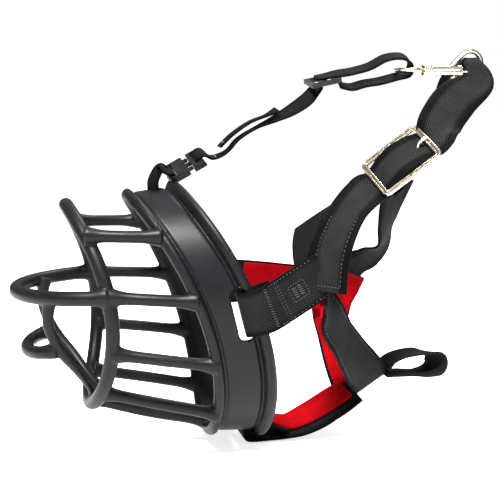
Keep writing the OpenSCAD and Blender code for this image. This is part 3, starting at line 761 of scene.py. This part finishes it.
LONG_STRAP = [
    [63, 46, 21, 0.76, 0.65, 0, WEB_W], [62.5, 47, 36, 0.74, 0.66, -0.05, WEB_W],
    [60.5, 51, 49, 0.76, 0.64, 0, WEB_W], [53, 60, 62, 0.76, 0.64, 0, WEB_W],
    [41, 75, 74, 0.68, 0.68, -0.28, WEB_W],
    buckle_row(-BUCKLE_END, -2.5), buckle_row(-9, 0.6, 26), buckle_row(0, 2.3, 26), buckle_row(9, 0.6, 26),
    buckle_row(BUCKLE_END, -2.5),
    [44, 113, 102, 0.85, 0.2, -0.48, WEB_W],
    [38, 118.5, 112, 0.5, 0.55, -0.66, WEB_W], [25, 132.5, 124, 0.25, 0.85, -0.5, WEB_W],
    [12, 151, 134.5, 0.25, 0.93, -0.25, 19], [5, 150.5, 144.6, 0, 1, 0, 9], [-5, 150.5, 144.6, 0, 1, 0, 9],
    [-9, 148, 136.5, 0, 1, -0.04, 24], [-16, 146, 124, -0.1, 0.97, -0.1, WEB_W], [-21, 138, 102, -0.5, 0.8, 0.3, WEB_W],
    [-25, 123.5, 85, -0.51, 0.85, 0.11, WEB_W], [-30, 115, 65, -0.54, 0.83, 0.1, WEB_W],
    [-36, 112.5, 48, -0.75, 0.65, 0, WEB_W], [-42, 111.5, 34, -0.86, 0.4, -0.3, WEB_W],
    [-48, 104, 25, -0.67, 0.46, -0.58, WEB_W], [-53, 95, 18, -0.5, 0.5, -0.5, WEB_W],
    [-56, 81, 0, 0.1, 0.95, 0.2, WEB_W], [-56, 78, -8, 0.1, 0.95, 0.2, WEB_W],
]
NECK_PAD_LEFT = [
    [61, 50, 20.5, 0.76, 0.65, 0, 30], [59.7, 50.3, 35.5, 0.74, 0.66, -0.05, 30], [52.5, 50.5, 48, 0.76, 0.64, 0, 30],
    [46, 53, 57, 0.76, 0.64, 0, 28],
]
NECK_PAD_RIGHT = [
    [-51.5, 79, -10, 0.1, 0.95, 0.2, 27], [-51.5, 82, 0, 0.1, 0.95, 0.2, 27], [-50, 88, 9, 0.05, 0.95, 0.3, 27],
    [-47.5, 92, 15, 0, 0.95, 0.4, 27],
]
THROAT_LEFT = [
    [57, 47, 14, -0.9, 0.4, 0.1, WEB_W], [52, 52, 4, -0.7, 0.65, 0.15, WEB_W], [42, 61, -9, -0.75, 0.62, 0.2, WEB_W],
    [27, 72.5, -23.5, -0.55, 0.72, 0.43, WEB_W], [10, 86, -38.5, -0.1, 0.85, 0.5, WEB_W],
    [2, 91, -44.5, 0, 0.85, 0.5, WEB_W],
]
THROAT_RIGHT = [
    [-54, 76, 0, 0.9, 0.4, 0.1, WEB_W], [-51, 79, -11, 0.7, 0.65, 0.15, WEB_W],
    [-44, 82, -24, 0.6, 0.75, 0.25, WEB_W], [-28, 82, -36.5, 0.4, 0.8, 0.4, WEB_W],
    [-10, 82, -46.5, 0.15, 0.85, 0.5, WEB_W],
]
CHIN = [
    [0, 38, -69.4, 1, 0, 0, WEB_W], [0, 31, -67, 1, 0, 0, WEB_W], [0, 23, -63, 1, 0, 0, WEB_W],
    [0, 15, -62, 1, 0, 0, WEB_W], [0, 11.6, -65, 1, 0, 0, WEB_W], [0, 11.3, -70, 1, 0, 0, WEB_W],
    [0, 13, -73, 1, 0, 0, WEB_W], [0, 18, -73.6, 1, 0, 0, WEB_W], [0, 27, -73.4, 1, 0, 0, WEB_W],
    [0, 37, -71.8, 1, 0, -0.1, WEB_W], [0, 47, -68.4, 0.95, 0, -0.3, WEB_W], [0, 59, -63, 0.92, 0, -0.4, WEB_W],
    [0, 71, -56, 0.92, 0, -0.4, WEB_W], [0, 81, -50, 0.95, 0, -0.3, WEB_W],
]
CHIN_LINING = [
    [0, 24, -61.2, 1, 0, 0, WEB_W], [0, 31.8, -65.2, 1, 0, -0.1, WEB_W], [0, 40, -67.6, 0.98, 0, -0.2, WEB_W],
    [0, 46.5, -66, 0.95, 0, -0.3, WEB_W],
    [0, 58, -60.7, 0.92, 0, -0.4, WEB_W], [0, 69.5, -54, 0.92, 0, -0.4, WEB_W], [0, 77, -49.5, 0.95, 0, -0.3, WEB_W],
]
COLLAR_LOOP = [
    [0, 99, -36, 1, 0.15, 0, 18], [0, 103, -31.5, 1, 0.15, 0, 18], [0, 111, -28.5, 1, 0.15, 0, 18],
    [0, 122, -27.5, 0.86, 0.5, 0, 18], [0, 130, -29.5, 0.84, 0.55, 0, 18], [0, 132.5, -34, 0.84, 0.55, 0, 18],
    [0, 130, -38.5, 0.84, 0.55, 0, 18], [0, 122, -40.5, 0.86, 0.5, 0, 18], [0, 111, -40, 1, 0.15, 0, 18],
    [0, 99, -40, 1, 0.15, 0, 18],
]
ANCHOR = [
    clip_row(-11, -4), clip_row(-9.5, -3.7), clip_row(-7.5, -2), clip_row(-7.5, 1.6), clip_row(-10, 3.8),
    [0, -35, 85.5, 0.9, 0.4, -0.1, HEAD_W], [0, -37.5, 82, 0.88, 0.48, 0, HEAD_W],
    [0, -39.3, 77, 0.88, 0.48, 0, HEAD_W],
    [0, -38.8, 71, 0.88, 0.48, 0, HEAD_W], [0, -37.5, 66.5, 1, 0, 0, HEAD_W], [0, -35, 66.5, 1, 0, 0, HEAD_W],
]
HEAD = [
    clip_row(12, -3), clip_row(9, -3.2), clip_row(7.3, -1.6), clip_row(7.3, 1.6), clip_row(9.4, 3.2),
    clip_row(13, 2.4), [0, -6, 91, 0.95, 0.1, -0.15, HEAD_W], [0, -1, 92, 1, 0, -0.1, HEAD_W],
    [0, 4, 95, 1, 0, 0, HEAD_W], [0, 10, 101.5, 1, 0, 0, HEAD_W], [0, 20, 107.5, 1, 0, 0, HEAD_W],
    [0, 30, 112, 0.95, 0.1, -0.2, HEAD_W], [0, 41, 117.5, 0.8, 0.2, -0.5, HEAD_W],
    [0, 50, 123.5, 0.7, 0.3, -0.6, HEAD_W], [0, 55, 129, 0.8, 0.25, -0.5, HEAD_W],
    [0, 57.5, 132, 0.9, 0.2, -0.4, HEAD_W],
]
HEAD_TAIL = [
    [0, -1, 97, 1, 0, 0, HEAD_W], [0, 7, 104.5, 1, 0, 0, HEAD_W], [0, 17, 111, 1, 0, 0, HEAD_W],
    [0, 26, 114.5, 1, 0, 0, HEAD_W], [0, 33, 118, 0.97, 0.1, -0.2, HEAD_W],
]
END_LOOP = [
    [0, 56, 136.2, 0.95, 0.1, -0.2, HEAD_W], [0, 62, 137.3, 0.95, 0.1, -0.25, HEAD_W],
    [0, 70, 138.8, 0.92, 0, -0.4, HEAD_W], [0, 78, 140.2, 0.92, 0, -0.4, HEAD_W], [0, 88, 143, 0.92, 0, -0.4, HEAD_W],
    [0, 98, 148, 0.92, 0, -0.4, HEAD_W], [0, 107, 149, 0.92, 0, -0.4, HEAD_W], [0, 112, 146.5, 0.92, 0, -0.4, HEAD_W],
    [0, 113, 142.5, 0.92, 0, -0.4, HEAD_W], [0, 111, 138.8, 0.92, 0, -0.4, HEAD_W],
    [0, 104, 137, 0.92, 0, -0.4, HEAD_W],
    [0, 94, 134.5, 0.92, 0, -0.4, HEAD_W], [0, 85, 133, 0.92, 0, -0.4, HEAD_W], [0, 77, 131, 0.92, 0, -0.4, HEAD_W],
    [0, 70, 132.3, 0.92, 0, -0.4, HEAD_W],
]


# ---- the harness ----

def make_side_webbing(black, banded, padding):
    webbing("cheek_strap_left_web", Strap(CHEEK_LEFT, WEB_T), black, "cheek_strap_left")
    webbing("cheek_strap_right_web", Strap(CHEEK_RIGHT, WEB_T), black, "cheek_strap_right")
    webbing("neck_strap_left_web", Strap(NECK_LEFT, WEB_T), banded, "neck_strap_left")
    webbing("long_strap_web", Strap(LONG_STRAP, WEB_T), banded, "neck_strap_right")
    webbing("throat_strap_left_web", Strap(THROAT_LEFT, WEB_T), black, "throat_strap_left")
    webbing("throat_strap_right_web", Strap(THROAT_RIGHT, WEB_T), black, "throat_strap_right")
    webbing("chin_strap_web", Strap(CHIN, WEB_T), black, "chin_strap")
    webbing("collar_loop_web", Strap(COLLAR_LOOP, WEB_T), black, "collar_loop")
    left = webbing("neck_pad_left_web", Strap(NECK_PAD_LEFT, 2), padding, "neck_pad_left", shift=-9,
                   crown=0.35, slant=14)
    right = webbing("neck_pad_right_web", Strap(NECK_PAD_RIGHT, 2), padding, "neck_pad_right", crown=0.35)


def lining(name, rows, node, material, trim=1, **shape):
    mesh = strap_mesh(name, Strap(rows, LINING_T), crown=0.25, trim=trim, **shape)
    piece = add_object(name, mesh, material, "harness")
    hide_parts(node)


def make_linings(material):
    lining("cheek_lining_left_felt", CHEEK_LEFT_LINING, "cheek_lining_left", material)
    lining("cheek_lining_right_felt", CHEEK_RIGHT_LINING, "cheek_lining_right", material)
    lining("neck_lining_left_felt", NECK_PAD_LEFT, "neck_lining_left", material, lift=-2, shift=-9, slant=12)
    lining("neck_lining_right_felt", NECK_PAD_RIGHT, "neck_lining_right", material, lift=2)
    lining("throat_lining_left_felt", THROAT_LEFT, "throat_lining_left", material, lift=2.2)
    lining("throat_lining_right_felt", THROAT_RIGHT, "throat_lining_right", material, trim=2.4, lift=-2)
    lining("chin_lining_felt", CHIN_LINING, "chin_lining", material, trim=3, shift=-2.7)


def make_head_webbing(black):
    webbing("anchor_loop_web", Strap(ANCHOR, HEAD_T), black, "anchor_loop")
    webbing("head_strap_web", Strap(HEAD, HEAD_T), black, "head_strap")
    webbing("head_strap_tail_web", Strap(HEAD_TAIL, HEAD_T), black, "head_strap_tail")
    webbing("end_loop_web", Strap(END_LOOP, HEAD_T), black, "end_loop")


# ---- metal hardware ----

BUCKLE_HALF = 14.75
SNAP_Z = 141


def turned_rings(profile, sides=28):
    """Rings round the snap hook's long axis, from (place along it, radius) pairs."""
    turn = np.arange(sides) * 2 * math.pi / sides
    return [np.array([[r * math.cos(a), y, SNAP_Z + r * math.sin(a)] for a in turn]) for y, r in profile]


def torus_rings(centre, radius, wire, axis, count=36, sides=12):
    """A wire ring whose axis is X (0) or Y (1)."""
    rings = []
    for a in np.arange(count) * 2 * math.pi / count:
        out = np.array([0, math.cos(a), math.sin(a)]) if axis == 0 else np.array([math.cos(a), 0, math.sin(a)])
        lead = np.eye(3)[axis]
        rings.append(np.array([np.array(centre) + out * (radius + wire * math.cos(b)) + lead * wire * math.sin(b)
                               for b in np.arange(sides) * 2 * math.pi / sides]))
    return rings


def join_rings(name, parts):
    """One mesh of several closed solids, each a (rings, closed) pair."""
    joined = bmesh.new()
    for rings, closed in parts:
        joined.from_mesh(mesh_from_rings(name, rings, closed))
    mesh = bpy.data.meshes.new(name)
    joined.to_mesh(mesh)
    joined.free()
    return mesh


def make_buckle(material):
    """The frame is a flat bar with a groove along its face, bent to a rectangle with round corners."""
    outline = [(-1.75, -0.5), (-1.75, 0.5), (-1.3, 1.05), (-0.55, 1.15), (-0.25, 0.65), (0.25, 0.65), (0.55, 1.15),
               (1.3, 1.05), (1.75, 0.5), (1.75, -0.5), (1.2, -1.0), (-1.2, -1.0)]
    path = []
    bend = 2.6
    for corner, (sx, sy) in enumerate([(1, 1), (-1, 1), (-1, -1), (1, -1)]):
        for a in np.linspace(corner * math.pi / 2, (corner + 1) * math.pi / 2, 8):
            path.append((sx * (BUCKLE_HALF - bend), sy * (BUCKLE_END - bend), math.cos(a), math.sin(a)))
    rings = []
    for cx, cy, ox, oy in path:
        ring = [np.array([cx + ox * (bend + u), cy + oy * (bend + u), 0.5 + v]) for u, v in outline]
        rings.append(np.array([BUCKLE_AT + turned(p, BUCKLE_TURN) for p in ring]))
    heel = [np.array([BUCKLE_AT + turned((x, 1.1 * math.cos(a), HEEL_Z + 1.1 * math.sin(a)), BUCKLE_TURN)
                      for a in np.arange(16) * math.pi / 8]) for x in (-BUCKLE_HALF, 0, BUCKLE_HALF)]
    parts = [(rings, True), (heel, False)]
    for side in (-1, 1):
        lug = [np.array([BUCKLE_AT + turned((side * (BUCKLE_HALF + x), 2.6 * math.cos(a), -0.3 + r * math.sin(a)),
                                            BUCKLE_TURN) for a in np.arange(20) * math.pi / 10])
               for x, r in ((-0.5, 2.2), (1.2, 2.2))]
        parts.append((lug, False))
    piece = add_object("buckle_frame_metal", join_rings("buckle_frame_metal", parts), material, "harness")
    finish_metal(piece)
    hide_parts("buckle_frame")


def finish_metal(piece):
    modified(piece, "BEVEL", width=0.15 * MM, segments=2, limit_method="ANGLE", angle_limit=math.radians(32))


def make_snap(material):
    """The sliding bolt with its thumb ring, and the ribs round the hook's neck."""
    bolt = [(turned_rings([(139, 1.2), (139.2, 1.7), (141.8, 1.7), (142.1, 1.25), (154.9, 1.25), (155.5, 0.8)]), False),
            ([np.array([[0.6 * math.cos(a), 140.6 + 0.6 * math.sin(a), z] for a in np.arange(12) * math.pi / 6])
              for z in (140.4, 139, 137)], False),
            (torus_rings((0, 140.6, 135.3), 2.0, 0.7, 0), True)]
    piece = add_object("snap_bolt_metal", join_rings("snap_bolt_metal", bolt), material, "bolt")
    finish_metal(piece)
    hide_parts("snap_bolt")
    ribs = [(torus_rings((0, y, SNAP_Z), r, 0.5, 1), True)
            for y, r in ((121.8, 2.9), (123.2, 3.1), (124.7, 2.8), (126.1, 2.8), (144.6, 2.7))]
    piece = add_object("snap_neck_ribs", join_rings("snap_neck_ribs", ribs), material, "hook")
    finish_metal(piece)


# ---- stitching ----

def box_run(u0, u1, v0, v1):
    return [(u0, v0), (u1, v0), (u1, v1), (u0, v1), (u0, v0)]


def make_stitches(thread):
    cheek = Strap(CHEEK_LEFT, WEB_T)
    spans = bar_tack(cheek, 15.5, 5, 3, 5) + bar_tack(cheek, 19, 5, 3, 5)
    spans += stitch_path(cheek, box_run(12, 22, -4.5, 4.5), pitch=1.8)
    spans += stitch_path(cheek, [(27, -11), (27, 11)], pitch=1.8) + stitch_path(cheek, [(29, -11), (29, 11)], pitch=1.8)
    spans += bar_tack(cheek, 36.5, 21, 2.2, 16)
    for v in (-11, 11):
        spans += stitch_path(cheek, [(3, v), (34, v)], pitch=2.4)
    long_strap = Strap(LONG_STRAP, WEB_T)
    for v in (-8.5, 8.5):
        spans += stitch_path(long_strap, [(3, v), (44, v)], pitch=2.4)
    spans += stitch_path(long_strap, [(3, -8.5), (3, 8.5)], pitch=2.0)
    end = long_strap.lengths[-1]
    spans += stitch_path(long_strap, box_run(end - 11, end - 2, -9, 9), pitch=2.2)
    for rows, side, ends in ((THROAT_LEFT, 1, (4, 70)), (THROAT_RIGHT, -1, (3, 60)), (CHEEK_RIGHT, 1, (3, 40))):
        strap = Strap(rows, WEB_T)
        last = min(ends[1], strap.lengths[-1] - 3)
        for v in (-10.3, 10.3):
            spans += stitch_path(strap, [(ends[0], v), (last, v)], side=side, pitch=2.4)
            spans += stitch_path(strap, [(ends[0], v), (last, v)], side=-side, pitch=2.4)
    chin = Strap(CHIN, WEB_T)
    near = chin.lengths[-1]
    spans += stitch_path(chin, box_run(near - 42, near - 36, -9, 9), side=-1, pitch=2.2)
    loop = Strap(COLLAR_LOOP, WEB_T)
    spans += stitch_path(loop, [(4, -7), (4, 7)], pitch=1.8) + stitch_path(loop, [(6, -7), (6, 7)], pitch=1.8)
    stitches("webbing_stitches", spans, thread, 0.26)
    head = Strap(HEAD, HEAD_T)
    tail = Strap(HEAD_TAIL, HEAD_T)
    spans = bar_tack(head, 24, 8, 1.8, 9) + bar_tack(tail, 3, 8, 1.8, 9)
    anchor = Strap(ANCHOR, HEAD_T)
    spans += bar_tack(anchor, anchor.lengths[-1] - 13, 8, 1.8, 9)
    stitches("head_strap_stitches", spans, thread, 0.22)


# ---- hardware kept from the CAD ----

def dress(node, material, bevel=0.0):
    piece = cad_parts[node]
    piece.data.materials.clear()
    piece.data.materials.append(material)
    if bevel:
        modified(piece, "BEVEL", width=bevel, segments=3, limit_method="ANGLE", angle_limit=math.radians(35),
                 harden_normals=True)


def main():
    make_camera()
    make_studio()
    moulding = moulding_material()
    black = webbing_material("black_webbing", (0.0008, 0.0008, 0.001), (0.019, 0.0195, 0.021))
    banded = webbing_material("banded_webbing", (0.0008, 0.0008, 0.001), (0.025, 0.025, 0.026), edge=8)
    narrow = webbing_material("narrow_webbing", (0.0006, 0.0006, 0.0008), (0.006, 0.006, 0.007), 0.9, 0.8, 4)
    padding = webbing_material("pad_cover", (0.0008, 0.0008, 0.001), (0.008, 0.008, 0.009), 0.5, 0.5, 26)
    red = lining_material()
    nickel = nickel_material()
    acetal = acetal_material()
    thread = thread_material("thread", (0.022, 0.022, 0.025))
    make_basket(moulding)
    make_side_webbing(black, banded, padding)
    make_linings(red)
    make_head_webbing(narrow)
    make_buckle(nickel)
    make_snap(nickel)
    make_stitches(thread)
    for node in ("buckle_prong", "snap_eye", "snap_body"):
        dress(node, nickel)
    dress("snap_spring", spring_material())
    for node in ("clip_housing", "clip_body", "clip_arm_left", "clip_arm_right", "strap_slider"):
        dress(node, acetal, 0.0004)


main()
